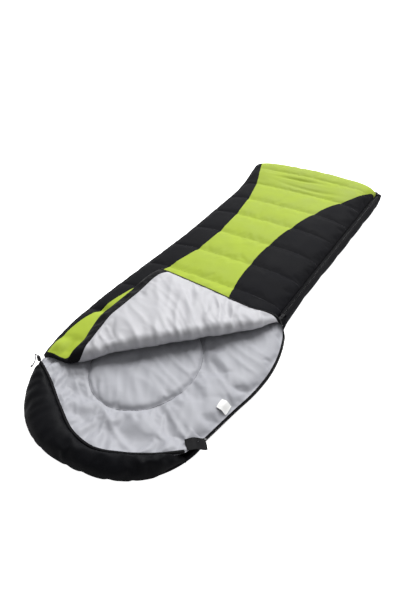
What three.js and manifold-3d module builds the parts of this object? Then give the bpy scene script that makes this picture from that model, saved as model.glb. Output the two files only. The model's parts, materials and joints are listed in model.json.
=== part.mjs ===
// Hooded rectangular sleeping bag, lying flat, with the corner of its top quilt folded back.
// Millimetres. +X across the bag, +Y towards the foot, +Z up. The drawing plane has y = 0 at the head
// edge of the top quilt; the exported group is moved so that y = 0 is half way along the whole bag.
import * as THREE from 'three';
import { mergeVertices } from 'three/addons/utils/BufferGeometryUtils.js';
import Module from 'manifold-3d';

const wasm = await Module();
wasm.setup();

// ---- driving dimensions ----
const BODY_LENGTH = 1900; // head edge to foot
const HOOD_LENGTH = 310;
const LEFT_X = -370; // folded side of the bag
const SKIN = 1.6; // a fabric, drawn thicker than it is
const GAP = 0.3; // between touching solids
const LOFT = 24; // one layer of filling
const BOTTOM_TOP = 2 * SKIN + LOFT + 2 * GAP; // upper face of the bottom quilt's lining
const CROWN = 52; // how far the top quilt stands above the plane of its edges
const LEFT_EDGE_Z = 30; // height of the top quilt's edge on the folded side
const RIGHT_EDGE_Z = 50; // and at the zip
const ZIP_START = [340, 650]; // where the slider rests
const ZIP_CORNER = [382, 1800]; // a second point on the straight closed zip
const ZIP_Z = 49.5;
const FOOT_Y = 1885; // foot edge of the top quilt
const FOLD_SUM = 252; // the fold is the line y = x + FOLD_SUM, and its hinge is 0.4 below FLAP_LOW
const FLAP_HEAD_X = -238; // the head edge, folded back, lies on this x
const FLAP_ZIP_Y = 612; // and the zip edge on this y
const FLAP_LOW = 96.2;
const HOOD_CENTRE_X = 5;
const HOOD_HALF_WIDTH = 365;
const CUFF_TOP = 57.4;
const CORD_Z = 50;
const CORD_R = 2;

const FAR = 3000;
const root = new THREE.Group();
root.position.y = -(BODY_LENGTH - HOOD_LENGTH) / 2;

// ---- colours ----
const finish = (color, roughness, metalness = 0) =>
  new THREE.MeshStandardMaterial({ color, roughness, metalness });
const BLACK = finish(0x17181b, 0.75);
const GREEN = finish(0x9cc82c, 0.7);
const GREY = finish(0xb4b4ba, 0.55);
const WHITE = finish(0xf0f0ee, 0.9);
const PLASTIC = finish(0x101012, 0.4);
const METAL = finish(0x2a2a2c, 0.35, 0.9);

// ---- solids ----
function solid(geometry) {
  const bare = geometry.clone();
  bare.deleteAttribute('normal');
  bare.deleteAttribute('uv');
  const merged = mergeVertices(bare, 1e-4);
  return new wasm.Manifold(new wasm.Mesh({
    numProp: 3,
    vertProperties: new Float32Array(merged.attributes.position.array),
    triVerts: new Uint32Array(merged.index.array),
  }));
}

function geometryOf(manifold) {
  const mesh = manifold.getMesh();
  const geometry = new THREE.BufferGeometry();
  geometry.setAttribute('position', new THREE.BufferAttribute(mesh.vertProperties, 3));
  geometry.setIndex(new THREE.BufferAttribute(mesh.triVerts, 1));
  geometry.computeVertexNormals();
  return geometry;
}

function add(name, shape, material, group = root) {
  const geometry = shape.isBufferGeometry ? shape : geometryOf(shape);
  const mesh = new THREE.Mesh(geometry, material);
  mesh.name = name;
  group.add(mesh);
  return mesh;
}

const outline = (points) => new THREE.Shape(points.map(([x, y]) => new THREE.Vector2(x, y)));

// A plan outline, raised from z0 to z1.
function slab(shape, z0, z1) {
  const drawn = Array.isArray(shape) ? outline(shape) : shape;
  return new THREE.ExtrudeGeometry(drawn, { depth: z1 - z0, bevelEnabled: false, curveSegments: 10 })
    .translate(0, 0, z0);
}

// An outline in X and Z, run along Y from y0 to y1.
function alongY(points, y0, y1) {
  return new THREE.ExtrudeGeometry(outline(points), { depth: y1 - y0, bevelEnabled: false })
    .rotateX(Math.PI / 2).translate(0, y1, 0);
}

function box(x0, x1, y0, y1, z0, z1) {
  return new THREE.BoxGeometry(x1 - x0, y1 - y0, z1 - z0)
    .translate((x0 + x1) / 2, (y0 + y1) / 2, (z0 + z1) / 2);
}

function tube(points, radius, steps, sides = 8) {
  const path = new THREE.CatmullRomCurve3(points.map((p) => new THREE.Vector3(...p)), false, 'centripetal');
  const section = new THREE.Shape();
  section.absarc(0, 0, radius, 0, 2 * Math.PI);
  return new THREE.ExtrudeGeometry(section, {
    steps, extrudePath: path, bevelEnabled: false, curveSegments: sides,
  });
}

const curve = (points, count) =>
  new THREE.CatmullRomCurve3(points.map(([x, y]) => new THREE.Vector3(x, y, 0)), false, 'centripetal')
    .getSpacedPoints(count).map((p) => [p.x, p.y]);

// A plan curve moved sideways: positive is to the left of its direction.
function offset(points, distance) {
  return points.map(([x, y], i) => {
    const a = points[Math.max(i - 1, 0)];
    const b = points[Math.min(i + 1, points.length - 1)];
    const length = Math.hypot(b[0] - a[0], b[1] - a[1]);
    return [x - (b[1] - a[1]) / length * distance, y + (b[0] - a[0]) / length * distance];
  });
}

// The plan area between two offsets of a curve.
const ribbon = (points, from, to) => [...offset(points, from), ...offset(points, to).reverse()];

// ---- lines that the pieces share ----
const zipSlope = (ZIP_CORNER[0] - ZIP_START[0]) / (ZIP_CORNER[1] - ZIP_START[1]);
const zipX = (y) => ZIP_START[0] + (y - ZIP_START[1]) * zipSlope;
const edgePlane = (x) => LEFT_EDGE_Z + (RIGHT_EDGE_Z - LEFT_EDGE_Z) * (x - LEFT_X) / (ZIP_START[0] - LEFT_X);

// The open stretch of the zip on the bottom quilt, from its top end to the slider.
const openEdge = curve([[364, 0], [392, 145], [418, 262], [427, 380], [404, 520], [368, 625]], 18);
// The hood's rim, from the folded side to the zip side.
const rim = curve([[-330, -50], [-252, -86], [-126, -163], [-8, -223], [84, -233], [171, -203],
  [280, -141], [322, -108]], 24);
// The sides of the green panel, from the foot to the head edge.
const greenLeft = curve([[-345, 1895], [-240, 1600], [-170, 1230], [-182, 850], [-232, 640],
  [-300, 330], [-338, 150], [-345, -10]], 20);
const greenRight = curve([[395, 1895], [215, 1500], [100, 1130], [90, 850], [122, 600],
  [205, 360], [300, 150], [350, -10]], 20);
const mirrorInFold = ([x, y]) => [y - FOLD_SUM, x + FOLD_SUM];

// ---- bottom quilt ----
// Plan outline of the bottom quilt, drawn in by a margin. The zip edge is drawn in by its own margin.
function bottomOutline(margin, zipMargin) {
  const right = openEdge.map(([x, y]) => [x - zipMargin, y]);
  right[0][1] = GAP;
  const foot = BODY_LENGTH - 12 - margin;
  return [[LEFT_X + margin, GAP], ...right, [zipX(700) + 22 - margin, 700],
    [zipX(1750) + 18 - margin, 1750], [zipX(1750) + 8 - margin, foot - 20], [zipX(1750) - 22 - margin, foot],
    [LEFT_X + margin + 30, foot], [LEFT_X + margin, foot - 30]];
}
// The side wall rises to meet the closed zip, and the foot wall to meet the foot zip.
const ridge = [[zipX(702) - 30, 702], [zipX(702) + 19, 702], [zipX(1850) + 14, 1850], [zipX(1850) - 30, 1850]];
const footWall = alongY([[LEFT_X + 8, 20], [378, 20], [378, edgePlane(378) - 3],
  [LEFT_X + 8, edgePlane(LEFT_X + 8) - 1.5]], FOOT_Y - 32, FOOT_Y - 1);
const liningOutline = bottomOutline(14, 19).map(([x, y]) =>
  (y > 640 ? [Math.min(x, zipX(y) - 31), Math.min(y, FOOT_Y - 33)] : [x, y]));

add('bottom_shell', slab(bottomOutline(0, 16), 0, SKIN), BLACK);
add('bottom_filling', solid(slab(bottomOutline(3, 17), SKIN + GAP, SKIN + GAP + LOFT))
  .add(solid(slab(ridge, 20, 44))).add(solid(footWall)), WHITE);
add('bottom_lining', slab(liningOutline, BOTTOM_TOP - SKIN, BOTTOM_TOP), GREY);

// ---- top quilt ----
const ACROSS = [-1, -0.96, -0.88, -0.72, -0.45, -0.15, 0.15, 0.45, 0.72, 0.88, 0.96, 1];
const ALONG = [-20, 500, 1100, 1600, 1720, 1800, 1850, 1875, FOOT_Y];
const FOOT_TAPER_FROM = 1600;

function quiltTop(s, y) {
  const right = zipX(y) - 13;
  const x = (LEFT_X + right) / 2 + s * (right - LEFT_X) / 2;
  const run = Math.max(0, (y - FOOT_TAPER_FROM) / (FOOT_Y - FOOT_TAPER_FROM));
  const rise = CROWN * Math.sqrt(1 - Math.abs(s) ** 4) * Math.sqrt(Math.max(0, 1 - run ** 3));
  return [x, y, edgePlane(x) + rise];
}

// A closed layer of the arched quilt, between two depths below its top surface.
function archLayer(from, to) {
  const columns = ACROSS.length;
  const rows = ALONG.length;
  const position = [];
  for (const depth of [from, to])
    for (const y of ALONG)
      for (const s of ACROSS) {
        const [x, , z] = quiltTop(s, y);
        position.push(x, y, z - depth);
      }
  const at = (layer, row, column) => (layer * rows + row) * columns + column;
  const index = [];
  const quad = (a, b, c, d) => index.push(a, b, c, a, c, d);
  for (let r = 0; r + 1 < rows; r += 1)
    for (let c = 0; c + 1 < columns; c += 1) {
      quad(at(0, r, c), at(0, r, c + 1), at(0, r + 1, c + 1), at(0, r + 1, c));
      quad(at(1, r, c), at(1, r + 1, c), at(1, r + 1, c + 1), at(1, r, c + 1));
    }
  for (let c = 0; c + 1 < columns; c += 1) {
    quad(at(0, 0, c), at(1, 0, c), at(1, 0, c + 1), at(0, 0, c + 1));
    quad(at(0, rows - 1, c + 1), at(1, rows - 1, c + 1), at(1, rows - 1, c), at(0, rows - 1, c));
  }
  for (let r = 0; r + 1 < rows; r += 1) {
    quad(at(0, r + 1, 0), at(1, r + 1, 0), at(1, r, 0), at(0, r, 0));
    quad(at(0, r, columns - 1), at(1, r, columns - 1), at(1, r + 1, columns - 1), at(0, r + 1, columns - 1));
  }
  const geometry = new THREE.BufferGeometry();
  geometry.setAttribute('position', new THREE.Float32BufferAttribute(position, 3));
  geometry.setIndex(index);
  return solid(geometry).intersect(aboveEdges);
}

const aboveEdges = solid(alongY([[-600, edgePlane(-600)], [600, edgePlane(600)], [600, 400], [-600, 400]],
  -100, 2100));
// What the fold leaves in place.
const unfolded = solid(slab([[-FOLD_SUM, 0], [FAR - FOLD_SUM, FAR], [-FAR, FAR], [-FAR, 0]], -50, 300));
const headCap = solid(slab([[-FAR, -2.5], [-FOLD_SUM - 3, -2.5], [-FOLD_SUM - 1, -GAP], [-FAR, -GAP]], -50, 300));
const panelPrism = (points) => solid(slab(points, -50, 300));
const leftOf = (line, shift) => panelPrism([...line.map(([x, y]) => [x - shift, y]), [-FAR, -10], [-FAR, 1895]]);
const rightOf = (line, shift) => panelPrism([...line.map(([x, y]) => [x + shift, y]), [FAR, -10], [FAR, 1895]]);

const shell = archLayer(0, SKIN);
const mainShell = shell.intersect(unfolded);
add('top_panel_left', mainShell.intersect(leftOf(greenLeft, GAP)), BLACK);
add('top_panel_centre', mainShell.subtract(leftOf(greenLeft, 0)).subtract(rightOf(greenRight, 0)), GREEN);
add('top_panel_right', mainShell.intersect(rightOf(greenRight, GAP)), BLACK);
add('top_filling', archLayer(SKIN + GAP, SKIN + GAP + LOFT).intersect(unfolded), WHITE);
add('top_lining', archLayer(SKIN + LOFT + 2 * GAP, 2 * SKIN + LOFT + 2 * GAP).intersect(unfolded), GREY);
add('head_band_left', archLayer(0, 2 * SKIN + LOFT + 2 * GAP).intersect(headCap), BLACK);

// ---- folded-back corner of the top quilt ----
const flapTop = FLAP_LOW + 2 * SKIN + LOFT + 2 * GAP;
const FLAP_TIP_X = 340;
const FOLD_GAP = 1;
const flapPlan = [[FLAP_HEAD_X, FLAP_HEAD_X + FOLD_SUM + FOLD_GAP],
  [FLAP_TIP_X, FLAP_TIP_X + FOLD_SUM + FOLD_GAP], [FLAP_TIP_X, FLAP_ZIP_Y], [FLAP_HEAD_X, FLAP_ZIP_Y]];
const foldedGreenRight = greenRight.map(mirrorInFold);
// The black side of the green panel's edge, as it lies when folded back.
const foldedBlack = (shift) => solid(slab([...foldedGreenRight.map(([x, y]) => [x, y + shift]),
  [-FAR, FAR], [FAR, FAR]], -50, 300));
const flapShell = solid(slab(flapPlan, FLAP_LOW, FLAP_LOW + SKIN));
add('flap_panel_centre', flapShell.subtract(foldedBlack(0)), GREEN);
add('flap_panel_right', flapShell.intersect(foldedBlack(GAP)), BLACK);
add('flap_filling', slab(flapPlan, FLAP_LOW + SKIN + GAP, FLAP_LOW + SKIN + GAP + LOFT), WHITE);
add('flap_lining', slab(flapPlan, flapTop - SKIN, flapTop), GREY);

// Black band: a binding over the cut edge, with a hem on the lining side.
const BAND_HEM = 34;
add('flap_head_band', alongY([[FLAP_HEAD_X - 2.5, FLAP_LOW], [FLAP_HEAD_X - GAP, FLAP_LOW],
  [FLAP_HEAD_X - GAP, flapTop + GAP], [FLAP_HEAD_X + BAND_HEM, flapTop + GAP],
  [FLAP_HEAD_X + BAND_HEM, flapTop + 1.5], [FLAP_HEAD_X - 2.5, flapTop + 1.5]],
FLAP_HEAD_X + FOLD_SUM + BAND_HEM + 6, FLAP_ZIP_Y), BLACK);

const FLAP_COIL_Z = FLAP_LOW + 13;
const FLAP_COIL_END = 318;
add('flap_zip_tape', box(FLAP_HEAD_X, FLAP_COIL_END, FLAP_ZIP_Y + GAP, FLAP_ZIP_Y + 9,
  FLAP_COIL_Z - 0.6, FLAP_COIL_Z + 0.6), BLACK);
add('flap_zip_coil', box(FLAP_HEAD_X + 8, FLAP_COIL_END, FLAP_ZIP_Y + 9 + GAP, FLAP_ZIP_Y + 11.7,
  FLAP_COIL_Z - 2, FLAP_COIL_Z + 2), PLASTIC);
add('flap_zip_stop', box(FLAP_HEAD_X + 1, FLAP_HEAD_X + 8 - GAP, FLAP_ZIP_Y + 9 + GAP, FLAP_ZIP_Y + 12.2,
  FLAP_COIL_Z - 2.4, FLAP_COIL_Z + 2.4), PLASTIC);
add('closure_loop_patch', slab([[FLAP_HEAD_X + 10, FLAP_ZIP_Y - 56], [FLAP_HEAD_X + 38, FLAP_ZIP_Y - 56],
  [FLAP_HEAD_X + 38, FLAP_ZIP_Y - 12], [FLAP_HEAD_X + 10, FLAP_ZIP_Y - 12]], FLAP_LOW - 1.5, FLAP_LOW - GAP),
BLACK);

// ---- zip ----
// Everything on the closed side zip is drawn with y along the zip and its origin at the resting slider.
const COIL_HALF = 0.8; // half the free space between the two coils, where the slider's post runs
const COIL_WIDTH = 2.4;
const COIL_LIMIT = COIL_HALF + COIL_WIDTH;
const CLOSED_LENGTH = (FOOT_Y - ZIP_START[1]) * Math.hypot(1, zipSlope) - 6;
const sideZip = new THREE.Group();
sideZip.position.set(ZIP_START[0], ZIP_START[1], ZIP_Z);
sideZip.rotation.z = -Math.atan(zipSlope);
root.add(sideZip);

for (const [side, name] of [[-1, 'top'], [1, 'bottom']]) {
  const across = (a, b) => [Math.min(side * a, side * b), Math.max(side * a, side * b)];
  add(`zip_tape_${name}`, box(...across(COIL_LIMIT + GAP, 12.4), 16, CLOSED_LENGTH, -0.6, 0.6), BLACK, sideZip);
  add(`zip_coil_${name}`, box(...across(COIL_HALF, COIL_LIMIT), 4, CLOSED_LENGTH, -2, 2), PLASTIC, sideZip);
}

// The foot zip follows the sloping foot edge.
function footStrip(y0, y1, low, high, from = LEFT_X + 22) {
  const to = 377;
  return alongY([[from, edgePlane(from) + low], [to, edgePlane(to) + low],
    [to, edgePlane(to) + high], [from, edgePlane(from) + high]], y0, y1);
}
add('zip_tape_foot_top', footStrip(FOOT_Y + 1, FOOT_Y + 7, 1, 2.2), BLACK);
add('zip_coil_foot_top', footStrip(FOOT_Y + 7.3, FOOT_Y + 9.7, -0.4, 3.6), PLASTIC);
add('zip_coil_foot_bottom', footStrip(FOOT_Y + 10.1, FOOT_Y + 12.5, -0.4, 3.6), PLASTIC);
add('zip_tape_foot_bottom', footStrip(FOOT_Y + 12.8, FOOT_Y + 19, 1, 2.2), BLACK);
add('zip_end_box', box(LEFT_X + 10, LEFT_X + 21.5, FOOT_Y + 5, FOOT_Y + 14.6, 29, 36), PLASTIC);

// The open stretch lies along the edge of the bottom quilt.
const OPEN_Z = 15;
const openZip = [[365, 7], ...openEdge.slice(1)];
add('zip_tape_open', slab(ribbon(openZip, 4, 15), OPEN_Z - 0.6, OPEN_Z + 0.6), BLACK);
add('zip_coil_open', slab(ribbon(openZip, 1, 3.7), OPEN_Z - 2, OPEN_Z + 2), PLASTIC);
add('zip_stop_open', box(359, 364, 0.6, 6, OPEN_Z - 2.4, OPEN_Z + 2.4), PLASTIC);

// Slider: two plates joined by a post between the coils, with flanges that leave a slot for the tapes.
const PLATE_IN = 2.6;
const PLATE_OUT = 4.2;
const wing = new THREE.Shape();
wing.moveTo(-6.4, 14);
wing.lineTo(6.4, 14);
wing.lineTo(6.4, 0);
wing.quadraticCurveTo(6.6, -8, 8.4, -14);
wing.quadraticCurveTo(4, -13, 0, -9.5);
wing.quadraticCurveTo(-4, -13, -8.4, -14);
wing.quadraticCurveTo(-6.6, -8, -6.4, 0);
let slider = solid(slab(wing, PLATE_IN, PLATE_OUT)).add(solid(slab(wing, -PLATE_OUT, -PLATE_IN)));
slider = slider.add(solid(box(-0.5, 0.5, -11.6, -7, -PLATE_IN - 0.2, PLATE_IN + 0.2)));
for (const side of [-1, 1])
  for (const level of [-1, 1])
    slider = slider.add(solid(new THREE.BoxGeometry(1.2, 13.5, 1.6).translate(side * 5.8, 7, level * 1.95)));
const lug = new THREE.Shape();
lug.moveTo(-9, PLATE_OUT - 0.1);
lug.lineTo(2, PLATE_OUT - 0.1);
lug.lineTo(2, 7);
lug.quadraticCurveTo(2, 8.8, 0, 8.8);
lug.lineTo(-7, 8.8);
lug.quadraticCurveTo(-9, 8.8, -9, 7);
const eye = new THREE.Path();
eye.moveTo(-7, 5.1);
eye.lineTo(-7, 7.5);
eye.lineTo(0, 7.5);
eye.lineTo(0, 5.1);
lug.holes.push(eye);
// The lug is drawn in Y and Z, and is 2.8 thick in X.
const lugSolid = new THREE.ExtrudeGeometry(lug, { depth: 2.8, bevelEnabled: false, curveSegments: 4 })
  .rotateX(Math.PI / 2).rotateZ(Math.PI / 2).translate(-1.4, 0, 0);
add('zip_slider', slider.add(solid(lugSolid)), METAL, sideZip);

// Pull: a stamped link on the lug, and a moulded grip on the link.
const PULL_Z = 6.3;
const PULL_Y = -3;
const link = outline([[-4.2, PULL_Y + 0.7], [-4.2, -19], [4.2, -19], [4.2, PULL_Y + 0.7]]);
link.holes.push(new THREE.Path([[-2, PULL_Y - 0.7], [2, PULL_Y - 0.7], [2, -11], [-2, -11]]
  .map(([x, y]) => new THREE.Vector2(x, y))));
add('zip_pull_link', slab(link, PULL_Z - 0.7, PULL_Z + 0.7), METAL, sideZip);
const grip = new THREE.Shape();
grip.moveTo(-5.6, -13);
grip.lineTo(-6, -36);
grip.quadraticCurveTo(-6, -42, 0, -42);
grip.quadraticCurveTo(6, -42, 6, -36);
grip.lineTo(5.6, -13);
add('zip_pull_grip', solid(slab(grip, PULL_Z - 1.8, PULL_Z + 1.8))
  .subtract(solid(box(-4.5, 4.5, -19.3, -12, PULL_Z - 1, PULL_Z + 1))), PLASTIC, sideZip);

// ---- hood ----
// Half an ellipse from the folded side round to the zip side, at a margin inside the hood's edge.
function hoodArc(margin, from = 0, to = 1, count = 20) {
  const points = [];
  for (let i = 0; i <= count; i += 1) {
    const angle = Math.PI * (1 + from + (to - from) * i / count);
    points.push([HOOD_CENTRE_X + (HOOD_HALF_WIDTH - margin) * Math.cos(angle),
      (HOOD_LENGTH - margin) * Math.sin(angle) - GAP]);
  }
  return points;
}
add('hood_shell', slab(hoodArc(0), 0, SKIN), BLACK);
add('hood_filling', slab(hoodArc(3), SKIN + GAP, SKIN + GAP + LOFT), WHITE);
add('hood_lining', slab(hoodArc(5), BOTTOM_TOP - SKIN, BOTTOM_TOP), GREY);
// The cuff is the hood's edge, turned up and over towards the foot.
const cuff = [...rim, ...hoodArc(6, 0.05, 0.885).reverse()];
add('hood_cuff_filling', slab(cuff, BOTTOM_TOP + GAP, CUFF_TOP - SKIN - GAP), WHITE);
add('hood_cuff_shell', slab(cuff, CUFF_TOP - SKIN, CUFF_TOP), BLACK);

// A drawcord runs in a channel along the rim, is sewn in at the zip side and leaves at the folded side.
const channelLine = offset(rim, 7.5).map(([x, y]) => [x, y, CORD_Z]);
const onward = (points, end, reach) => {
  const [a, b] = end === 0 ? [points[0], points[1]] : [points.at(-1), points.at(-2)];
  const length = Math.hypot(a[0] - b[0], a[1] - b[1]);
  return [a[0] + (a[0] - b[0]) / length * reach, a[1] + (a[1] - b[1]) / length * reach, a[2]];
};
const boreLine = [onward(channelLine, 0, 4), ...channelLine, onward(channelLine, 1, 4)];
add('hood_drawcord_channel', solid(tube(channelLine, 6, 26, 6)).subtract(solid(tube(boreLine, 3.4, 30, 6))), BLACK);
const cordEnd = onward(channelLine, 1, -4);
const cordLine = [onward(channelLine, 0, -1), ...channelLine.slice(1, -1), cordEnd];
add('hood_drawcord', tube(cordLine, CORD_R - 0.4, 40, 4), BLACK);

// The cord's free tail: straight through the lock, over the hood's side and down to the ground.
const exit = channelLine[0];
const heading = new THREE.Vector3(exit[0] - channelLine[1][0], exit[1] - channelLine[1][1], 0).normalize();
const fromExit = (reach) => [exit[0] + heading.x * reach, exit[1] + heading.y * reach, CORD_Z];
const TAIL = [fromExit(0.4), fromExit(8), fromExit(19), fromExit(30), fromExit(38),
  [-374, -25, 46], [-380, -22, 38.5], [-384, -21, 29], [-385.5, -21.5, 19], [-385.5, -25, 10],
  [-384, -32, 4.6], [-381.5, -41, 2.7], [-379, -50, 2.4]];
add('drawcord_tail', tube(TAIL, CORD_R, 44, 4), BLACK);
add('drawcord_knot', new THREE.SphereGeometry(4.6, 10, 8).scale(1, 1.2, 1).translate(-377.5, -55.9, 4.7), BLACK);

// Cord lock: a barrel on the cord, with a sprung button whose slot lets the cord through.
const LOCK_REACH = 19;
const lock = new THREE.Group();
lock.position.set(...fromExit(LOCK_REACH));
lock.rotation.z = Math.atan2(heading.y, heading.x);
root.add(lock);
root.updateMatrixWorld(true);
const round = (radius, z0, z1, sides = 20) => new THREE.CylinderGeometry(radius, radius, z1 - z0, sides)
  .rotateX(Math.PI / 2).translate(0, 0, (z0 + z1) / 2);
const cordHole = new THREE.CylinderGeometry(2.6, 2.6, 30, 12).rotateZ(Math.PI / 2);
add('cord_lock_body', solid(round(7, -10, 8)).subtract(solid(round(5, -8, 9))).subtract(solid(cordHole)),
  PLASTIC, lock);
add('cord_lock_button', solid(round(4.6, -3.8, 13)).subtract(solid(box(-8, 8, -2.6, 2.6, -2.6, 6.8))),
  PLASTIC, lock);
add('cord_lock_spring', solid(round(4, -7.7, -4.1, 12)).subtract(solid(round(3, -9, -3, 12))), METAL, lock);

// ---- closure tab over the top end of the zip ----
const TAB = { x: 376, y: -19, z: BOTTOM_TOP + 2.2, length: 70, width: 45, turn: 45.9 };
const tab = new THREE.Group();
tab.position.set(TAB.x, TAB.y, TAB.z);
tab.rotation.z = THREE.MathUtils.degToRad(TAB.turn);
root.add(tab);
add('closure_tab', box(-TAB.length, 0, -TAB.width / 2, TAB.width / 2, 0, SKIN), BLACK, tab);
add('closure_hook_patch', box(-TAB.length + 6, -TAB.length + 32, -TAB.width / 2 + 5, TAB.width / 2 - 5,
  -1.4, -GAP), BLACK, tab);

// ---- care label, sewn into the zip edge of the bottom quilt ----
const label = new THREE.Group();
label.position.set(373, 136, BOTTOM_TOP + 1);
label.rotation.y = THREE.MathUtils.degToRad(8);
root.add(label);
add('care_label', box(-38, 0, -21, 21, 0, 0.8), WHITE, label);

export default root;
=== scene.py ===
"""Hooded rectangular sleeping bag: its fabrics, stitching, zip and cords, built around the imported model.

Metres. The drawing frame has x across the bag, y from the head edge of the top quilt to the foot, z up;
place() moves it into the row frame. "Plan" positions are those of the bag laid out with nothing folded.
"""
import json
import math

import bpy
import numpy as np
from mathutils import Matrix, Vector, noise


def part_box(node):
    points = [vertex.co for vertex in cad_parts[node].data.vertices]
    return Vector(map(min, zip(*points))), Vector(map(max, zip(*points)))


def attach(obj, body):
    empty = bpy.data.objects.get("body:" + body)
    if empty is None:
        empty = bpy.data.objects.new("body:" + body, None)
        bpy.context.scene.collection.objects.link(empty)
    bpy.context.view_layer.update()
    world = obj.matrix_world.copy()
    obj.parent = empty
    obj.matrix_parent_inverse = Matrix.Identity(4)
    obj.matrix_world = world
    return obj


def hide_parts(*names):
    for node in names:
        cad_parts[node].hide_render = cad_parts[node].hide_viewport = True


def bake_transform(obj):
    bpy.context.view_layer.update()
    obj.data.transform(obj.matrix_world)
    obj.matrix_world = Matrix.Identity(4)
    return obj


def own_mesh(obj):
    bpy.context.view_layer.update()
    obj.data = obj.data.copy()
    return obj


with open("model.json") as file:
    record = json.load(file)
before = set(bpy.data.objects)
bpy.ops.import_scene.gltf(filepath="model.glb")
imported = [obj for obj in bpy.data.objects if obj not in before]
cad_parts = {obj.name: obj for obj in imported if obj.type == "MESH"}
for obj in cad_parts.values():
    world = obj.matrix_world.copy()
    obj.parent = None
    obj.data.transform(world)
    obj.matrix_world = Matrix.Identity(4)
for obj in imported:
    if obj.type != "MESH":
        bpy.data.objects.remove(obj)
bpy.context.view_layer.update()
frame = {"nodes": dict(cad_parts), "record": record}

# ---- sizes, from the frame or in the drawing frame ----
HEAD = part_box("bottom_shell")[0].y - 0.0003  # the head edge of the top quilt, in the row frame
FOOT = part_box("top_filling")[1].y - HEAD  # the foot edge of the top quilt
ZIP_START = Vector((0.340, 0.650))  # slider at rest
ZIP_SLOPE = 0.0365217  # x for each y, along the closed zip
ZIP_Z = 0.0495
EDGE_TO_ZIP = 0.0132  # from the zip's centre line to each quilt's edge
OPEN_END = 0.74  # past the slider, hidden cloth has a coarser grid from here
SHELL_END = 1.86  # where the bottom quilt's shell starts to turn up at the foot
UNDERSIDE = 0.0006  # height of cloth that lies on the floor
LEFT_EDGE_Z = 0.030  # the left seam between the quilts
CROWN = 0.052  # how far the top quilt arches over its edges
FOLD_C = 0.252  # the fold starts on the line y = x + FOLD_C
FLAP_CLEAR = 0.004  # between the folded corner and the quilt under it
PITCH = 0.0085  # cloth grid
# The lines of quilting, with the head and foot edges.
CHANNELS = [0.0, 0.095, 0.285, 0.475, 0.665, 0.855, 1.043, 1.235, 1.415, 1.60, 1.775, FOOT]
LINING_Z = 0.031  # the bottom quilt's lining
RIM_LINING_Z = 0.045  # where the lining meets the hood's rim
BAND = 0.042  # black band along the head edge, on the lining side
CORD_Z = 0.050
TAPE_HALF = 0.0004  # half the thickness of zip tape
FIRST_RIPPLE = 0.0016  # unevenness that cloth settles from


def knots(*pairs):
    return np.array(pairs, float)


# Outlines: (y, x) for a side and for the panels' seams, (x, y) round the hood and for the head edge.
LEFT_SIDE = knots((-0.05, -0.345), (0.0, -0.358), (0.1, -0.378), (0.35, -0.386), (0.6, -0.372),
                  (0.8, -0.357), (1.0, -0.345), (1.3, -0.340), (1.55, -0.339), (1.75, -0.364), (1.9, -0.388))
OPEN_EDGE = knots((0.0, 0.364), (0.145, 0.392), (0.262, 0.416), (0.38, 0.424), (0.50, 0.410), (0.60, 0.382),
                  (0.66, 0.364))
TOP_EDGE = knots((-0.06, 0.384), (0.05, 0.382), (0.15, 0.376), (0.25, 0.368), (0.35, 0.356), (0.45, 0.346),
                 (0.54, 0.335), (0.62, 0.326))
HEAD_BULGE = knots((-0.40, 0.0), (-0.24, 0.0), (-0.13, -0.010), (-0.05, -0.030), (0.024, -0.047),
                   (0.094, -0.044), (0.20, -0.037), (0.33, -0.031), (0.375, -0.018), (0.40, -0.012))
CLOSED_BULGE = knots((0.62, 0.030), (0.72, 0.020), (0.86, 0.016), (1.2, 0.020), (1.6, 0.022), (1.8, 0.022),
                     (1.9, 0.014))
GREEN_LEFT = knots((-0.02, -0.345), (0.15, -0.338), (0.33, -0.300), (0.64, -0.228), (0.85, -0.182),
                   (1.23, -0.178), (1.6, -0.245), (1.80, -0.315), (1.90, -0.352))
GREEN_RIGHT = knots((-0.02, 0.350), (0.15, 0.300), (0.36, 0.205), (0.60, 0.118), (0.85, 0.091),
                    (1.13, 0.108), (1.5, 0.205), (1.75, 0.330), (1.90, 0.400))
RIM = knots((-0.334, -0.046), (-0.252, -0.086), (-0.126, -0.163), (-0.008, -0.223), (0.084, -0.233),
            (0.171, -0.203), (0.280, -0.141), (0.341, -0.092))
OUTLINE = knots((-0.356, -0.012), (-0.343, -0.045), (-0.308, -0.125), (-0.234, -0.221), (-0.110, -0.291),
                (0.034, -0.303), (0.170, -0.276), (0.284, -0.204), (0.350, -0.098))
HOOD_SIDE = knots((0.350, -0.098), (0.364, -0.045), (0.364, 0.0))
OVAL_CENTRE = (0.000, 0.177)
OVAL_RADII = (0.199, 0.243)


# ---- small maths ----
def smooth(x, low=0.0, high=1.0):
    t = np.clip((np.asarray(x, float) - low) / (high - low), 0, 1)
    return t * t * (3 - 2 * t)


def through(x, points):
    """A smooth curve through (x, value) points, at x."""
    xs, ys = points[:, 0], points[:, 1]
    slope = np.gradient(ys, xs)
    x = np.clip(x, xs[0], xs[-1])
    i = np.clip(np.searchsorted(xs, x, side="right") - 1, 0, len(xs) - 2)
    h = xs[i + 1] - xs[i]
    t = (x - xs[i]) / h
    return ((1 + 2 * t) * (1 - t) ** 2 * ys[i] + t * (1 - t) ** 2 * h * slope[i]
            + t * t * (3 - 2 * t) * ys[i + 1] - t * t * (1 - t) * h * slope[i + 1])


def run_along(path):
    """The distance along a path, at each of its points."""
    return np.r_[0, np.cumsum(np.linalg.norm(np.diff(path, axis=0), axis=1))]


def sampled(at, run, values):
    """Rows of values, which belong to the places in run, at the places at."""
    return np.stack([np.interp(at, run, column) for column in values.T], -1)


def spaced(points, count):
    """count points at equal steps along a smooth curve through points of any dimension."""
    points = np.asarray(points, float)
    chord = run_along(points)
    s = np.linspace(0, chord[-1], 40 * len(points))
    dense = np.stack([through(s, np.stack([chord, points[:, k]], 1)) for k in range(points.shape[1])], 1)
    run = run_along(dense)
    return sampled(np.linspace(0, run[-1], count), run, dense)


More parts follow.
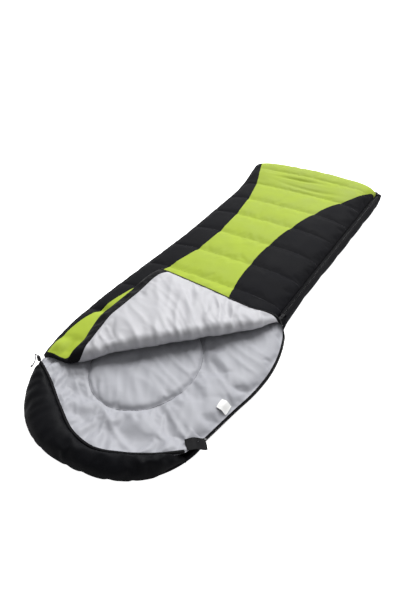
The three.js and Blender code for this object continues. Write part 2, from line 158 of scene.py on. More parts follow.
def ripple(points, size, seed=0.0):
    """Smooth noise from -1 to 1 at each point, with features of the given size."""
    return np.array([noise.noise(Vector((x / size + seed, y / size - seed, z / size))) for x, y, z in points])


def spot(x, y, at_x, at_y, size_x, size_y):
    """1 at a place, and falling to 0 round it."""
    return np.exp(-(((x - at_x) / size_x) ** 2) - ((y - at_y) / size_y) ** 2)


def unit(v):
    return v / np.maximum(np.linalg.norm(v, axis=-1, keepdims=True), 1e-12)


# ---- meshes ----
def place(points):
    return np.asarray(points, float) + (0, HEAD, 0)


def added(name, data):
    """A new object, in the scene."""
    fresh = bpy.data.objects.new(name, data)
    bpy.context.scene.collection.objects.link(fresh)
    return fresh


def new_object(name, points, faces, material, subdivide=0):
    """Points are in the drawing frame."""
    mesh = bpy.data.meshes.new(name)
    mesh.from_pydata(place(points).tolist(), [], [tuple(int(i) for i in f) for f in faces])
    mesh.validate()
    mesh.shade_smooth()
    mesh.materials.append(material)
    piece = added(name, mesh)
    if subdivide:
        modifier = piece.modifiers.new("smooth", "SUBSURF")
        modifier.levels = subdivide
        modifier.render_levels = subdivide
    return piece


def drawn_box(node):
    """The low and high corners of a node, in the drawing frame."""
    return [np.array(corner) - (0, HEAD, 0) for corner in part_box(node)]


def grid_faces(rows, columns, closed=False, offset=0):
    """Quads of a rows x columns grid. closed joins the last column to the first."""
    faces = []
    for r in range(rows - 1):
        for c in range(columns if closed else columns - 1):
            a, b = r * columns + c, r * columns + (c + 1) % columns
            faces.append([a + offset, b + offset, b + columns + offset, a + columns + offset])
    return faces


def cut(data, faces, field, tolerance):
    """Splits faces where field(x, y) changes sign. Rows of data are carried along, x and y first."""
    values = field(data[:, 0], data[:, 1])
    values = list(np.where(np.abs(values) < tolerance, 0.0, values))
    made, fresh, out = {}, [], []
    for face in faces:
        signs = [values[i] for i in face]
        if min(signs) >= 0 or max(signs) <= 0:
            out.append(face)
            continue
        ring = []
        for a, b in zip(face, face[1:] + face[:1]):
            ring.append(a)
            if values[a] * values[b] < 0:
                key = (min(a, b), max(a, b))
                if key not in made:
                    t = values[a] / (values[a] - values[b])
                    made[key] = len(values)
                    values.append(0.0)
                    fresh.append(data[a] * (1 - t) + data[b] * t if max(a, b) < len(data) else None)
                ring.append(made[key])
        out.append([i for i in ring if values[i] >= 0])
        out.append([i for i in ring if values[i] <= 0])
    return np.concatenate([data, np.array(fresh)]), out, np.array(values)


def part_of(points, faces, keep):
    """The points and faces of the faces for which keep is true."""
    chosen = [f for f, k in zip(faces, keep) if k]
    used = sorted({i for f in chosen for i in f})
    index = {old: new for new, old in enumerate(used)}
    return points[used], [[index[i] for i in f] for f in chosen]


def centre_of(values, faces):
    return np.array([values[list(f)].mean() for f in faces])


def relax(points, faces, pins, pressure, grow, frames, cap, seed, size, bend=0.3):
    """Lets cloth with some spare length settle between its pinned points. Returns the new points."""
    start = np.array(points, float)
    start[:, 2] += FIRST_RIPPLE * ripple(start, size, seed) * (1 - pins)
    piece = new_object("settling", start, faces, MATERIALS["shell_black"])
    group = piece.vertex_groups.new(name="pin")
    for i, w in enumerate(pins):
        if w > 0:
            group.add([i], float(w), "REPLACE")
    modifier = piece.modifiers.new("cloth", "CLOTH")
    cloth = modifier.settings
    cloth.quality = 6
    cloth.mass = 0.12
    cloth.tension_stiffness = 12
    cloth.compression_stiffness = 12
    cloth.shear_stiffness = 4
    cloth.bending_stiffness = bend
    cloth.tension_damping = 6
    cloth.compression_damping = 6
    cloth.air_damping = 2
    cloth.shrink_min = -grow
    cloth.vertex_group_mass = "pin"
    cloth.pin_stiffness = 1
    cloth.use_pressure = True
    cloth.uniform_pressure_force = pressure
    cloth.effector_weights.gravity = 0.0
    modifier.collision_settings.use_collision = False
    modifier.collision_settings.use_self_collision = False
    modifier.point_cache.frame_start = 1
    modifier.point_cache.frame_end = frames + 1
    scene = bpy.context.scene
    for f in range(1, frames + 1):
        scene.frame_set(f)
    seen = piece.evaluated_get(bpy.context.evaluated_depsgraph_get())
    settled = np.array([v.co for v in seen.data.vertices], float) - (0, HEAD, 0)
    bpy.data.objects.remove(piece)
    scene.frame_set(1)
    move = settled - start
    far = np.linalg.norm(move, axis=1, keepdims=True)
    return start + move * np.minimum(1, cap / np.maximum(far, 1e-9))


def tube(path, radius, sides=8, start_cap=True, end_cap=True):
    """Points and faces of a round tube along a path. radius is one number or one for each point."""
    path = np.asarray(path, float)
    tangent = unit(np.gradient(path, axis=0))
    side = np.cross(tangent[0], (0, 0, 1.0))
    if np.linalg.norm(side) < 1e-3:
        side = np.cross(tangent[0], (0, 1.0, 0))
    radius = np.broadcast_to(radius, len(path))
    rings = []
    for p, t, r in zip(path, tangent, radius):
        side = unit(side - t * (side @ t))
        up = np.cross(t, side)
        turn = np.linspace(0, 2 * math.pi, sides, endpoint=False)
        rings.append(p + r * (np.cos(turn)[:, None] * side + np.sin(turn)[:, None] * up))
    faces = grid_faces(len(path), sides, closed=True)
    last = (len(path) - 1) * sides
    if start_cap:
        faces.append(list(range(sides))[::-1])
    if end_cap:
        faces.append([last + i for i in range(sides)])
    return np.concatenate(rings), faces


def merged(parts):
    """One points and faces pair from several."""
    points, faces, offset = [], [], 0
    for p, f in parts:
        points.append(p)
        faces += [[i + offset for i in face] for face in f]
        offset += len(p)
    return np.concatenate(points), faces


def upward(count):
    """Straight up, once for each of count points."""
    return np.tile([0, 0, 1.0], (count, 1))


def stitches(path, normals, length=0.0034, pitch=0.0052, radius=0.00042, lift=0.0002):
    """A line of thread stitches that follows a path on a surface."""
    path = np.asarray(path, float)
    run = run_along(path)
    parts = []
    for s in np.arange(pitch, run[-1] - pitch, pitch):
        at = np.array([s - length / 2, s - length / 4, s, s + length / 4, s + length / 2])
        line = sampled(at, run, path)
        n = unit(sampled(s, run, normals))
        height = np.array([-0.5, 0.5, 1, 0.5, -0.5])[:, None] * radius + lift
        parts.append(tube(line + n * height, radius, sides=5))
    return merged(parts)


def coil(path, outward, up, pitch=0.0022, width=0.0030, thickness=0.0034, wire=0.0006):
    """Zip coil: one turn of filament at each pitch, drawn as a continuous spring."""
    path = np.asarray(path, float)
    run = run_along(path)
    turns = int(run[-1] / pitch)
    s = np.linspace(0, run[-1], turns * 6 + 1)
    centre = sampled(s, run, path)
    out = unit(sampled(s, run, outward))
    top = unit(sampled(s, run, up))
    phase = np.arange(len(s)) * 2 * math.pi / 6
    centre = centre + out * (np.cos(phase) * width / 2)[:, None]
    return tube(centre + top * (np.sin(phase) * thickness / 2)[:, None], wire, sides=4)


# ---- materials ----
class Shading:
    """The node tree of a material or a world."""

    def __init__(self, owner):
        owner.use_nodes = True
        self.owner, self.nodes, self.links = owner, owner.node_tree.nodes, owner.node_tree.links
        self.bsdf = self.nodes.get("Principled BSDF")
        self.relief = None

    def set(self, node, **inputs):
        """Sets inputs by name, with _ for a space."""
        for name, value in inputs.items():
            node.inputs[name.replace("_", " ")].default_value = value
        return node

    def node(self, kind, **inputs):
        return self.set(self.nodes.new("ShaderNode" + kind), **inputs)

    def link(self, source, node, name):
        self.links.new(source, node.inputs[name])

    def texture(self, kind, where, **inputs):
        texture = self.node(kind, **inputs)
        self.link(where, texture, "Vector")
        return texture

    def stretch(self, source, low, high, source_low=0.0, source_high=1.0):
        """Turns the range of source into the range low to high."""
        ramp = self.node("MapRange", From_Min=source_low, From_Max=source_high, To_Min=low, To_Max=high)
        self.link(source, ramp, "Value")
        return ramp.outputs["Result"]

    def tint(self, colour, strength):
        """The material's colour, uneven by strength."""
        scaled = self.node("VectorMath")
        scaled.operation = "SCALE"
        scaled.inputs[0].default_value = colour
        self.link(strength, scaled, "Scale")
        self.link(scaled.outputs["Vector"], self.bsdf, "Base Color")

    def bump(self, height, strength, distance):
        """Adds to the material's relief."""
        bump = self.node("Bump", Strength=strength, Distance=distance)
        self.link(height, bump, "Height")
        if self.relief:
            self.link(self.relief, bump, "Normal")
        self.relief = bump.outputs["Normal"]
        self.link(self.relief, self.bsdf, "Normal")


def fabric(name, colour, rough=0.6, sheen=0.25, vary=0.12, crumple=0.35, weave=0.18, specular=0.35,
           crease_size=26.0, crease_depth=0.0012):
    """Woven cloth: fine crossed threads, soft creases and a little unevenness in colour and gloss."""
    look = Shading(bpy.data.materials.new(name))
    where = look.node("TexCoord").outputs["Object"]
    broad = look.texture("TexNoise", where, Scale=9.0, Detail=5.0).outputs["Fac"]
    look.tint(colour, look.stretch(broad, 1 - vary, 1 + vary, 0.3, 0.7))
    look.link(look.stretch(broad, rough - 0.07, rough + 0.07, 0.3, 0.7), look.bsdf, "Roughness")
    look.set(look.bsdf, Sheen_Weight=sheen, Sheen_Roughness=0.4, Specular_IOR_Level=specular)
    creases = look.texture("TexNoise", where, Scale=crease_size, Detail=3.0, Distortion=0.6)
    creases.noise_type = "RIDGED_MULTIFRACTAL"
    look.bump(creases.outputs["Fac"], crumple, crease_depth)
    for axis in ("X", "Y"):
        threads = look.texture("TexWave", where, Scale=320.0, Distortion=0.4)
        threads.bands_direction = axis
        look.bump(threads.outputs["Fac"], weave, 0.00012)
    return look.owner


def hard(name, colour, rough, metallic=0.0, grain=400.0, specular=0.5):
    """Moulded plastic or coated metal, with a fine grain and slight wear in its gloss."""
    look = Shading(bpy.data.materials.new(name))
    where = look.node("TexCoord").outputs["Object"]
    speck = look.texture("TexNoise", where, Scale=grain, Detail=4.0).outputs["Fac"]
    look.link(look.stretch(speck, rough - 0.1, rough + 0.12), look.bsdf, "Roughness")
    look.tint(colour, look.stretch(speck, 0.85, 1.15))
    look.bump(speck, 0.4, 0.00006)
    look.set(look.bsdf, Metallic=metallic, Specular_IOR_Level=specular)
    return look.owner


MATERIALS = {
    "shell_black": fabric("black_shell", (0.0080, 0.0081, 0.0098), rough=0.72, sheen=0.0, vary=0.2,
                          crumple=0.5, specular=0.05),
    "hood_black": fabric("black_hood", (0.0042, 0.0044, 0.0056), rough=0.6, sheen=0.01, vary=0.2,
                         crumple=0.5, specular=0.07),
    "shell_green": fabric("green_shell", (0.350, 0.452, 0.040), rough=0.62, sheen=0.01, vary=0.05,
                          crumple=0.45, specular=0.14),
    "lining_grey": fabric("grey_lining", (0.452, 0.452, 0.477), rough=0.52, sheen=0.04, vary=0.03,
                          crumple=1.0, specular=0.40, crease_size=11.0, crease_depth=0.0034),
    # The same grey lining made darker for the bottom quilt and hood: painted shade, because this lining lies
    # under the top quilt and gets less light.
    "lining_painted_shade": fabric("grey_lining_painted_shade", (0.345, 0.350, 0.380), rough=0.54, sheen=0.03, vary=0.04,
                            crumple=1.0, specular=0.34, crease_size=11.0, crease_depth=0.0024),
    "filling": fabric("white_filling", (0.8, 0.8, 0.78), rough=0.9, vary=0.05),
    "binding": fabric("black_binding", (0.0055, 0.0055, 0.0065), rough=0.62, sheen=0.01, vary=0.2,
                      crumple=0.5, specular=0.08),
    "zip_tape": fabric("zip_tape", (0.006, 0.006, 0.007), rough=0.8, sheen=0.02, vary=0.15, crumple=0.15,
                       weave=0.5, specular=0.08),
    "zip_coil": hard("zip_coil", (0.010, 0.010, 0.011), 0.42),
    "slider_metal": hard("coated_metal", (0.011, 0.011, 0.012), 0.62, metallic=0.1, grain=250.0,
                         specular=0.14),
    "pull_grip": hard("moulded_grip", (0.009, 0.009, 0.010), 0.66, specular=0.16),
    "cord": fabric("braided_cord", (0.011, 0.011, 0.012), rough=0.75, sheen=0.2, crumple=0.1, weave=0.6),
    "cord_lock": hard("moulded_lock", (0.012, 0.012, 0.013), 0.45),
    "spring": hard("spring_steel", (0.45, 0.45, 0.47), 0.3, metallic=1.0),
    "label": fabric("label_satin", (0.80, 0.80, 0.79), rough=0.5, sheen=0.2, vary=0.03, crumple=0.3),
    "thread_green": fabric("green_thread", (0.14, 0.20, 0.02), rough=0.7, sheen=0.0, weave=0.4),
    "thread_dark": fabric("dark_thread", (0.045, 0.045, 0.055), rough=0.7, weave=0.4),
}
SLOT_OF = {part["node"]: part["material_slot"] for part in frame["record"]["subparts"]}


def finish_piece(piece, slot, body, *nodes):
    """Hides the nodes it replaces. Rides on one body, or, for a joint given as (a, b, start, end) in the
    drawing frame, has its transform baked into its mesh.
    """
    if nodes:
        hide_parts(*nodes)
    if isinstance(body, tuple):
        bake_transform(piece)
    else:
        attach(piece, body)
    return piece


def make(name, mesh, slot, body, *nodes, look=None, subdivide=0, fill=None):
    """A finished piece from (points, faces). look is its material where that isn't its slot's own."""
    piece = new_object(name, *mesh, MATERIALS[look or slot], subdivide=subdivide)
    finish_piece(piece, slot, body, *nodes)
    return piece


def grid(rows):
    """Points and faces of rows x columns x 3 points."""
    rows = np.asarray(rows)
    return rows.reshape(-1, 3), grid_faces(*rows.shape[:2])


# The cloth at the two joints: each joint names two bodies and two places between them in the drawing frame.
FLAP_BEND = ("bag", "flap", (0.0, FOLD_C, 0.062), (-0.0146, FOLD_C + 0.0136, 0.082))
HOOD_BEND = ("bag", "hood", (0.0, 0.012, 0.02), (0.0, -0.045, 0.02))


# ---- the top quilt's shape ----
def zip_x(y):
    return ZIP_START.x + (y - ZIP_START.y) * ZIP_SLOPE


def puff(y):
    """0 on a line of quilting, 1 in the middle of a channel."""
    lines = np.array(CHANNELS)
    i = np.clip(np.searchsorted(lines, y, side="right") - 1, 0, len(lines) - 2)
    t = np.clip((y - lines[i]) / (lines[i + 1] - lines[i]), 0, 1)
    return np.sin(math.pi * t) ** 0.55


def channel_at(y):
    """How much the quilting shows: not at the head and foot edges, which have their own seams."""
    return smooth(y, 0.02, 0.10) * smooth(FOOT - y, 0.005, 0.06)


def sides_of_top(v):
    left = through(v, LEFT_SIDE) + 0.004 * (1 - puff(v)) * channel_at(v)
    return left, np.where(v < 0.62, through(v, TOP_EDGE), zip_x(v) - EDGE_TO_ZIP)


def plan_y(x, v):
    """Plan y of a point at distance v from the head edge, which isn't quite straight."""
    narrow = 0.45 * (1 - smooth(x, -0.22, 0.02)) * np.exp(-((v / 0.09) ** 2))
    return v * (1 - narrow) + through(x, HEAD_BULGE) * (1 - smooth(v, 0, 0.24))


# Two creases near the foot: depth, slope, bow, place along, middle and half length across.
FOOT_CREASES = [(0.010, 0.06, 0.0, 1.722, -0.03, 0.11), (0.006, -0.05, 0.5, 1.645, 0.04, 0.15)]


def top_height(x, y, quilted=True):
    """The top quilt's outer surface over a plan position."""
    x, y = np.broadcast_arrays(np.asarray(x, float), np.asarray(y, float))
    left = through(y, LEFT_SIDE)
    right = zip_x(y) - EDGE_TO_ZIP
    s = np.clip(2 * (x - left) / (right - left) - 1, -1, 1)
    edge = LEFT_EDGE_Z + (ZIP_Z + 0.0003 - LEFT_EDGE_Z) * (s + 1) / 2
    run = np.clip((y - 1.66) / (FOOT - 1.66), 0, 1)
    along = np.sqrt(np.maximum(0, 1 - run ** 7)) * (0.66 + 0.34 * smooth(y, -0.02, 0.16))
    to_foot = smooth(y, 1.60, 1.84)
    crown = np.sqrt(np.maximum(0, 1 - np.abs(s) ** (4 + 9 * to_foot)))
    z = edge + CROWN * (1 + (0.12 + 0.22 * (1 - s ** 2)) * to_foot) * along * crown
    for deep, slant, bow, at, middle_x, reach in FOOT_CREASES:
        line = at + slant * x + bow * x ** 2
        z = z - deep * np.exp(-(((y - line) / 0.011) ** 2) - ((x - middle_x) / reach) ** 2) * crown
    z = z + 0.010 * spot(x, y, -0.318, 0.045, 0.030, 0.030)
    z = z - 0.008 * spot(x, y, -0.278, 0.050, 0.018, 0.045)
    if quilted:
        soft = channel_at(y) * np.sqrt(np.maximum(0, 1 - np.abs(s) ** 6)) * along
        dimple = 0.013 * np.exp(-(((y - 0.285) / 0.10) ** 2)) * smooth(-s, 0.35, 0.75)
        z = z - (0.0036 + dimple) * (1 - puff(y)) * soft + 0.0012 * puff(y) * soft
    return z


def quilt_thickness(x, v):
    """Outer fabric to lining, thinner at the sewn edges."""
    left, right = sides_of_top(v)
    inside = np.minimum.reduce([(x - left) / 0.09, (right - x) / 0.07, v / 0.07, (FOOT - v) / 0.1])
    by_slider = spot(x, v, 0.335, 0.60, 0.09, 0.09)
    return (0.016 + 0.016 * np.sin(np.clip(inside, 0, 1) * math.pi / 2)) * (1 - 0.58 * by_slider)


def fold_distance(x, y):
    return (x - y + FOLD_C) / math.sqrt(2)


def fold_height(x, v, outer):
    """Plan positions to places in space, with the zip-side head corner folded back over the rest."""
    x, v = np.asarray(x, float), np.asarray(v, float)
    y = plan_y(x, v)
    d = fold_distance(x, y)
    m = np.array([1, -1]) / math.sqrt(2)
    bx, by = x - m[0] * d, y - m[1] * d  # foot of the perpendicular on the fold
    at_fold = quilt_thickness(bx, by)
    neutral = (at_fold + FLAP_CLEAR) / 2
    e = np.maximum(0, d - math.pi * neutral)
    qx, qy = bx - m[0] * e, by - m[1] * e
    phi = np.clip(d / neutral, 0, math.pi)
    flat_x, flat_y = np.where(d > 0, qx, x), np.where(d > 0, qy, y)
    thick = at_fold + (quilt_thickness(x, v) - at_fold) * smooth(e, 0, 0.06)
    under = smooth(x, -0.25, -0.22) * smooth(0.60 - y, 0, 0.03)
    if outer:
        radius, low = FLAP_CLEAR / 2, top_height(bx, by, quilted=True)
        on_flap = top_height(qx, qy) + FLAP_CLEAR
        on_main = top_height(x, y) - 0.003 * under
    else:
        radius, low = at_fold + FLAP_CLEAR / 2, top_height(bx, by, quilted=False) - at_fold
        on_flap = top_height(qx, qy, quilted=False) + FLAP_CLEAR + thick
        on_main = top_height(x, y, quilted=False) - quilt_thickness(x, v)
    rolled = low + radius * (1 - np.cos(phi))
    z = np.where(d <= 0, on_main, np.where(e <= 0, rolled, on_flap))
    z = z + 0.007 * spot(x, v, 0.37, 0.0, 0.12, 0.12) * (d > 0.2)
    push = radius * np.sin(phi) * (d > 0) * 0.9
    fx, fy = flat_x + m[0] * push, flat_y + m[1] * push
    near = spot(fx, fy, 0.335, 0.580, 0.07, 0.05)
    foot_bulge = (0.014 + 0.024 * (1 - (x / 0.38) ** 2)) * (1 - np.minimum(1, np.abs(x) / 0.37) ** 6)
    foot_bulge = foot_bulge * np.sin(math.pi * np.clip((y - 1.79) / (FOOT - 1.79), 0, 1)) * outer
    return np.stack([fx + 0.012 * near * (d > -0.02), fy + 0.036 * near + foot_bulge, z], -1)


def folds(points, direction, spacing, seed):
    """Soft irregular ridges from 0 to 1 that run roughly along a plan direction."""
    direction = unit(np.array(direction, float))
    along = points[:, 0] * direction[0] + points[:, 1] * direction[1]
    over = points[:, 1] * direction[0] - points[:, 0] * direction[1]
    over = over + 0.45 * spacing * ripple(np.column_stack([along, over, 0 * over]), spacing * 3.5, seed)
    wave = ripple(np.column_stack([along / 6, over, 0 * over]), spacing, seed + 5)
    return (1 - np.minimum(1, np.abs(wave) * 2.4)) ** 1.6


def even_s(count):
    """Places across the quilt, -1 to 1, at equal steps over its arch."""
    theta = np.linspace(0, math.pi, 4001)
    s = -np.sign(np.cos(theta)) * np.abs(np.cos(theta)) ** 0.5
    z = CROWN / 0.36 * np.sin(theta)
    run = np.r_[0, np.cumsum(np.hypot(np.diff(s), np.diff(z)))]
    return np.interp(np.linspace(0, run[-1], count), run, s)


def rows_between(lines, pitch):
    rows = [lines[0]]
    for a, b in zip(lines, lines[1:]):
        rows += list(np.linspace(a, b, max(2, round((b - a) / pitch)) + 1)[1:])
    return np.array(rows)


# ---- the top quilt: outer fabric ----
COLUMNS = 97
outer_rows = rows_between(CHANNELS, PITCH)
outer_rows = np.concatenate([outer_rows[:-1], [FOOT - 0.0035, FOOT]])
across = even_s(COLUMNS)


def past_left_seam(x, y):
    return through(y, GREEN_LEFT) - x


def past_right_seam(x, y):
    return x - through(y, GREEN_RIGHT)


def quilt_grid(rows):
    """Plan x, plan y and distance from the head edge, for each point of a grid over the top quilt."""
    v = np.repeat(rows[:, None], COLUMNS, 1)
    left, right = sides_of_top(v)
    x = (left + right) / 2 + across[None, :] * (right - left) / 2
    return np.stack([x.ravel(), plan_y(x, v).ravel(), v.ravel()], 1)


def edge_distance_of(plan):
    left, right = sides_of_top(plan[:, 2])
    return np.minimum.reduce([plan[:, 0] - left, right - plan[:, 0], plan[:, 2], FOOT - plan[:, 2]])


outer_plan = quilt_grid(outer_rows)
outer_faces = grid_faces(len(outer_rows), COLUMNS)
for field in (past_left_seam, past_right_seam, fold_distance):
    outer_plan, outer_faces, _ = cut(outer_plan, outer_faces, field, 0.0012)
outer = fold_height(outer_plan[:, 0], outer_plan[:, 2], True)
on_line = np.min(np.abs(outer_plan[:, 2][:, None] - np.array(CHANNELS)[None, :]), axis=1) < 1e-6
covered = (outer_plan[:, 0] > -0.235) & (outer_plan[:, 1] < 0.585)
pins = np.where(on_line | (edge_distance_of(outer_plan) < 1e-4) | covered, 1.0, 0.0)
outer = relax(outer, outer_faces, pins, pressure=0.8, grow=0.009, frames=24, cap=0.0036, seed=3.0, size=0.06)

is_left, is_right, on_flap = (centre_of(field(outer_plan[:, 0], outer_plan[:, 1]), outer_faces) > 0
                              for field in (past_left_seam, past_right_seam, fold_distance))
TOP_PARTS = [
    ("quilt_green", ~is_left & ~is_right & ~on_flap, "shell_green", "bag", ["top_panel_centre"]),
    ("quilt_black_left", is_left & ~on_flap, "shell_black", "bag", ["top_panel_left"]),
    ("quilt_black_right", is_right & ~on_flap & ~is_left, "shell_black", "bag", ["top_panel_right"]),
    ("corner_green", ~is_left & ~is_right & on_flap, "shell_green", FLAP_BEND, ["flap_panel_centre"]),
    ("corner_black", is_right & on_flap, "shell_black", FLAP_BEND, ["flap_panel_right"]),
]
for name, keep, slot, body, nodes in TOP_PARTS:
    make(name, part_of(outer, outer_faces, keep), slot, body, *nodes, subdivide=1, fill=0.6)

# ---- the top quilt: lining and head band ----
lining_rows = np.concatenate([rows_between([0.0, BAND, OPEN_END], PITCH),
                              rows_between([OPEN_END, 1.8, FOOT], 0.05)[1:]])
lining_plan = quilt_grid(lining_rows)
lining_faces = grid_faces(len(lining_rows), COLUMNS)
lining_plan, lining_faces, _ = cut(lining_plan, lining_faces, fold_distance, 0.0012)
lining = fold_height(lining_plan[:, 0], lining_plan[:, 2], False)
from_left = lining_plan[:, 0] - sides_of_top(lining_plan[:, 2])[0]
to_foot = smooth(lining_plan[:, 2], 1.62, 1.80)
# Its left edge stays inside the bottom quilt's side.
lining[:, 0] += (0.013 + 0.016 * to_foot) * np.exp(-(from_left / 0.055) ** 2)
edge_distance = edge_distance_of(lining_plan)
fold_side = fold_distance(lining_plan[:, 0], lining_plan[:, 1])
at_band = np.abs(lining_plan[:, 2] - BAND) < 1e-6
pins = np.where((edge_distance < 1e-4) | at_band | (lining_plan[:, 2] > 0.75), 1.0, 0.0)
loose = smooth(edge_distance, 0.0, 0.05) * smooth(lining_plan[:, 2] - BAND, 0.0, 0.04)
loose = loose * smooth(fold_side, -0.01, 0.03)
creases = folds(lining_plan, (1.0, -0.75), 0.055, 7.0) + 0.6 * folds(lining_plan, (1.0, -1.7), 0.038, 17.0)
turned = np.clip(fold_side / 0.018, 0, math.pi)
facing = np.stack([np.sin(turned) * 0.707, -np.sin(turned) * 0.707, -np.cos(turned)], 1)
low_side = 0.6 + 0.8 * np.exp(-((fold_side - 0.05) / 0.09) ** 2)
lining += facing * (0.0060 * low_side * (creases - 1.05) * loose)[:, None]
lining_faces = [f[::-1] for f in lining_faces]
lining = relax(lining, lining_faces, pins, pressure=0.25, grow=0.04, frames=24, cap=0.005, bend=0.4,
               seed=9.0, size=0.05)
on_flap = centre_of(fold_side, lining_faces) > 0
in_band = centre_of(lining_plan[:, 2], lining_faces) < BAND
for name, keep, body, nodes in [
        ("quilt_lining", ~on_flap & ~in_band, "bag", ["top_lining", "top_filling"]),
        ("corner_lining", on_flap & ~in_band, FLAP_BEND, ["flap_lining", "flap_filling"])]:
    make(name, part_of(lining, lining_faces, keep), "lining_grey", body, *nodes, subdivide=1, fill=0.5)


def rounded_edge(a, b, bulge, steps=6):
    """Rows that join curve a to curve b round an edge, standing out by bulge."""
    rows = []
    for turn in np.linspace(0, math.pi, steps):
        rows.append(a + (b - a) * (1 - math.cos(turn)) / 2 + bulge * math.sin(turn))
    return rows


def outward_of(x, v, dx, dv):
    """Direction in space in which a plan step leaves the quilt, at its edge."""
    steps = [unit(fold_height(x, v, side) - fold_height(x - dx, v - dv, side)) for side in (True, False)]
    return unit(steps[0] + steps[1])


# Head edge: a band that wraps from the outer fabric to the lining.
HEAD_COUNT = 110
head_left, head_right = sides_of_top(np.zeros(1))
head_x = np.linspace(head_left[0], head_right[0], HEAD_COUNT)


def along_head(points, plan, v):
    rows = np.abs(plan[:, 2] - v) < 1e-6
    order = np.argsort(plan[rows, 0])
    xs, ps = plan[rows, 0][order], points[rows][order]
    left, right = sides_of_top(np.array(v))
    share = (xs - left) / (right - left)
    return sampled(np.linspace(0, 1, HEAD_COUNT), share, ps)


outer_edge = along_head(outer, outer_plan, 0.0)
lining_edge = along_head(lining, lining_plan, 0.0)
away = outward_of(head_x, np.zeros(HEAD_COUNT), 0.0, -0.012)
normal_out = unit(outer_edge - lining_edge)
first_row = along_head(outer, outer_plan, outer_rows[1])
band_rows = [first_row + normal_out * 0.0010, (first_row + outer_edge) / 2 + normal_out * 0.0012]
band_rows += rounded_edge(outer_edge + normal_out * 0.0008, lining_edge - normal_out * 0.0008,
                          away * 0.0055, 7)
for y in lining_rows[1:6]:
    rise = 0.0012 if y < BAND - 1e-6 else 0.0002
    band_rows.append(along_head(lining, lining_plan, y) - normal_out * rise)
band = np.stack(band_rows)  # rows run round the edge, columns along it
split = int(np.searchsorted(fold_distance(head_x, plan_y(head_x, 0 * head_x)), 0.0))
for name, columns, body, nodes in [("head_band", slice(0, split + 1), "bag", ["head_band_left"]),
                                   ("corner_band", slice(split, HEAD_COUNT), FLAP_BEND, ["flap_head_band"])]:
    make(name, grid(band[:, columns]), "binding", body, *nodes, subdivide=1, fill=0.3)

# Zip edge of the folded corner: quilt edge, tape and coil.
SIDE_COUNT = 90
ZIP_TURN = ZIP_START.y + 0.012
side_y = np.linspace(0.0, ZIP_TURN, SIDE_COUNT)


def along_side(points, plan):
    right = sides_of_top(plan[:, 2])[1]
    on = (np.abs(plan[:, 0] - right) < 1e-6) & (plan[:, 2] < OPEN_END)
    order = np.argsort(plan[on, 2])
    return sampled(side_y, plan[on, 2][order], points[on][order])


outer_edge, lining_edge = along_side(outer, outer_plan), along_side(lining, lining_plan)
away = outward_of(sides_of_top(side_y)[1], side_y, 0.012, 0.0)
edge_rows = np.stack(rounded_edge(outer_edge, lining_edge, away * 0.003, 6))
middle = outer_edge * 0.35 + lining_edge * 0.65
up = unit(-np.cross(np.gradient(middle, axis=0), away))
tape_rows = np.stack([middle + away * a for a in (0.000, 0.004, 0.008, 0.0118)])
tape = np.concatenate([tape_rows + up[None] * TAPE_HALF, (tape_rows - up[None] * TAPE_HALF)[::-1]])
coil_line = middle + away * 0.0128
past_fold = int(np.searchsorted(side_y, 0.60))
for name, columns, body, nodes in [
        ("corner", slice(0, past_fold + 1), FLAP_BEND, ("flap_zip_tape", "flap_zip_coil")),
        ("mouth", slice(past_fold, SIDE_COUNT), "bag", ())]:
    make(f"{name}_zip_edge", grid(edge_rows[:, columns]), "shell_black", body, subdivide=1)
    make(f"{name}_zip_tape", grid(tape[:, columns]), "zip_tape", body, *nodes[:1])
    filament = coil(coil_line[columns], away[columns], up[columns])
    make(f"{name}_zip_coil", filament, "zip_coil", body, *nodes[1:])
STOP_ALONG = np.array([-0.0035, -0.003, -0.001, 0.001, 0.002, 0.0024])
STOP_RADII = np.array([0.0012, 0.0022, 0.0025, 0.0025, 0.0021, 0.001])
stop_line = coil_line[0] + unit(coil_line[0] - coil_line[1]) * STOP_ALONG[:, None]
make("corner_zip_stop", tube(stop_line, STOP_RADII, sides=10), SLOT_OF["flap_zip_stop"], "flap",
     "flap_zip_stop", subdivide=1)
patch_x, patch_v = np.meshgrid(np.linspace(0.322, 0.362, 9), np.linspace(0.016, 0.044, 9), indexing="ij")
patch = fold_height(patch_x.ravel(), patch_v.ravel(), True)
patch = np.concatenate([patch - (0, 0, 0.0006), patch - (0, 0, 0.0020)])
patch_faces = grid_faces(9, 9) + [f[::-1] for f in grid_faces(9, 9, offset=81)]
make("corner_loop_patch", (patch, patch_faces), SLOT_OF["closure_loop_patch"], "flap", "closure_loop_patch")

# ---- bottom quilt ----
def open_edge(y):
    return through(y, OPEN_EDGE)


def sides_of_bottom(y):
    """Left and right silhouettes of the bottom quilt, and how far its right edge has closed."""
    left = through(y, LEFT_SIDE) + 0.004 * (1 - puff(y)) * channel_at(y)
    closed = zip_x(y) + through(y, CLOSED_BULGE) - 0.004 * (1 - puff(y))
    join = smooth(y, 0.57, 0.66)
    return left, open_edge(y) * (1 - join) + closed * join, join


def bottom_seam(y):
    """Where the zip tape is sewn to the bottom quilt: x and z."""
    join = sides_of_bottom(y)[2]
    x = (open_edge(y) - 0.0100) * (1 - join) + (zip_x(y) + EDGE_TO_ZIP) * join
    return x, 0.0155 * (1 - join) + ZIP_Z * join


OPEN_RISE = [(-0.031, UNDERSIDE), (-0.021, 0.002), (-0.0140, 0.0055), (-0.0110, 0.0095), (-0.0103, 0.0130),
             (-0.0100, 0.0150)]


